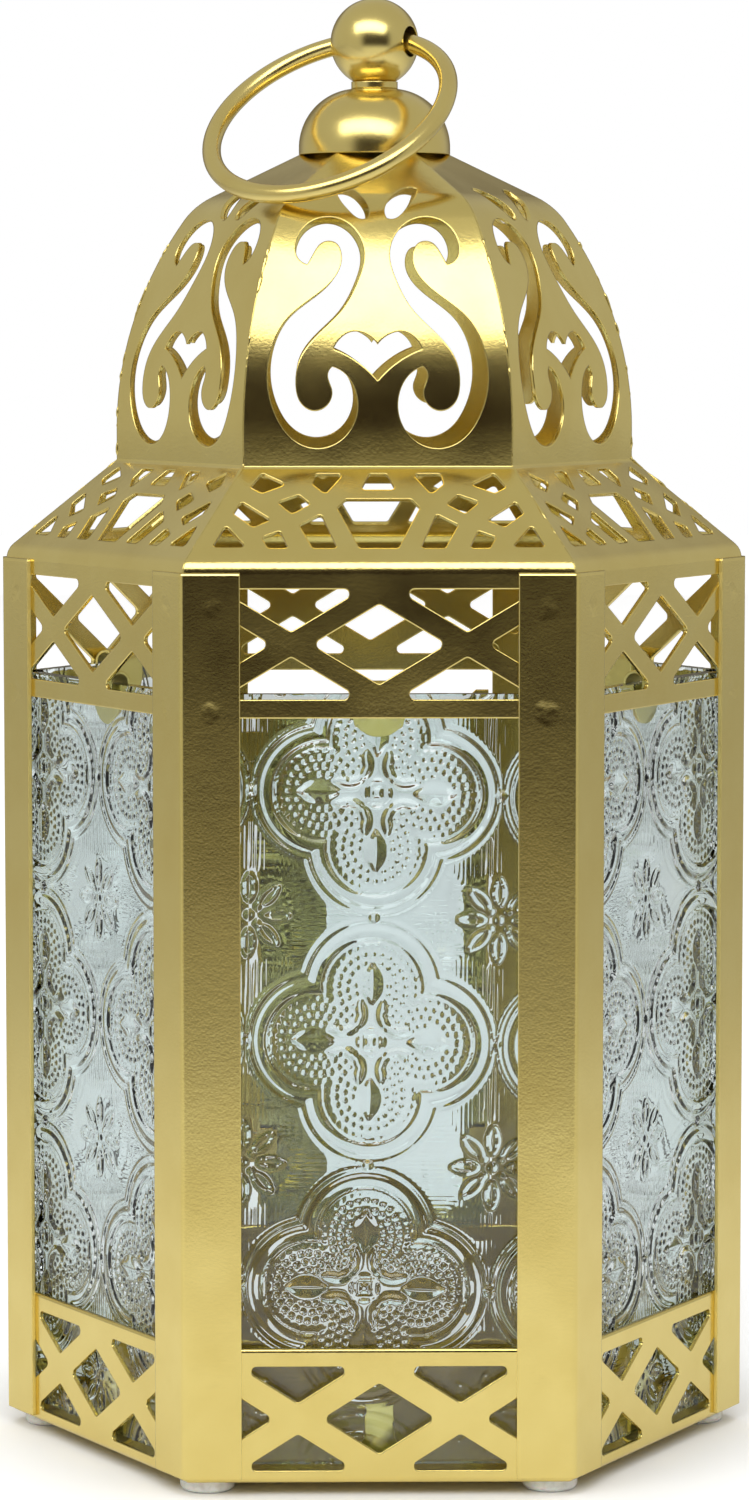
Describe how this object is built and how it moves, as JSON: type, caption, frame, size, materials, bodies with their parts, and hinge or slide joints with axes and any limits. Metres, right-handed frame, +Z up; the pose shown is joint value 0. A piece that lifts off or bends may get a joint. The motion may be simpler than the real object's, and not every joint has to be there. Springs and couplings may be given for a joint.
{
  "type": "candle lantern",
  "caption": "Hexagonal gold candle lantern with pressed glass panes, lattice bands, a pierced petal dome, a ball and carrying ring on top, and a hinged rear door for the candle.",
  "frame": {"origin": "centre of the hexagon on the ground, level with the undersides of the feet", "axes": "+Z up through the ball, -Y out of the front face, +X to the right seen from the front"},
  "size_m": [0.1096, 0.0975, 0.2114],
  "materials": {
    "gold_sheet": "satin gold lacquer on thin sheet",
    "gold_turned": "smooth satin gold",
    "gold_wire": "smooth satin gold wire",
    "pressed_glass": "clear pressed glass with a quatrefoil relief",
    "steel": "plain zinc-coated steel",
    "clear_rubber": "pale soft bumper"
  },
  "bodies": {
    "lantern": {"ball": "gold_turned", "ball_collar": "gold_turned", "base_tray": "gold_sheet", "bottom_clip_front": "gold_sheet", "bottom_clip_front_left": "gold_sheet", "bottom_clip_front_right": "gold_sheet", "bottom_clip_rear_left": "gold_sheet", "bottom_clip_rear_right": "gold_sheet", "corner_post_front_left": "gold_sheet", "corner_post_front_right": "gold_sheet", "corner_post_left": "gold_sheet", "corner_post_rear_left": "gold_sheet", "corner_post_rear_right": "gold_sheet", "corner_post_right": "gold_sheet", "crown_cap": "gold_turned", "crown_screw": "steel", "crown_washer": "steel", "foot_front_left": "clear_rubber", "foot_front_right": "clear_rubber", "foot_left": "clear_rubber", "foot_rear_left": "clear_rubber", "foot_rear_right": "clear_rubber", "foot_right": "clear_rubber", "glass_pane_front": "pressed_glass", "glass_pane_front_left": "pressed_glass", "glass_pane_front_right": "pressed_glass", "glass_pane_rear_left": "pressed_glass", "glass_pane_rear_right": "pressed_glass", "hinge_pin_lower": "steel", "hinge_pin_upper": "steel", "hinge_post_leaf_lower": "gold_sheet", "hinge_post_leaf_upper": "gold_sheet", "latch_stud": "gold_sheet", "roof_segment_front": "gold_sheet", "roof_segment_front_left": "gold_sheet", "roof_segment_front_right": "gold_sheet", "roof_segment_rear": "gold_sheet", "roof_segment_rear_left": "gold_sheet", "roof_segment_rear_right": "gold_sheet", "top_clip_front": "gold_sheet", "top_clip_front_left": "gold_sheet", "top_clip_front_right": "gold_sheet", "top_clip_rear_left": "gold_sheet", "top_clip_rear_right": "gold_sheet"},
    "door": {"door_frame": "gold_sheet", "door_pane": "pressed_glass", "hinge_door_leaf_lower": "gold_sheet", "hinge_door_leaf_upper": "gold_sheet"},
    "latch": {"door_latch": "gold_sheet"},
    "ring": {"carrying_ring": "gold_wire"}
  },
  "joints": [
    {"name": "door_hinge", "type": "hinge", "parent": "lantern", "child": "door", "pos_m": [-0.0186, 0.04878, 0.0653], "axis": [0, 0, 1], "range_deg": [0, 170]},
    {"name": "latch_turn", "type": "hinge", "parent": "lantern", "child": "latch", "pos_m": [0.0234, 0.04803, 0.0653], "axis": [0, 1, 0], "range_deg": [0, 90]},
    {"name": "ring_swing", "type": "hinge", "parent": "lantern", "child": "ring", "pos_m": [0, 0, 0.205], "axis": [-0.866, 0.5, 0], "range_deg": [0, 259.64]}
  ]
}
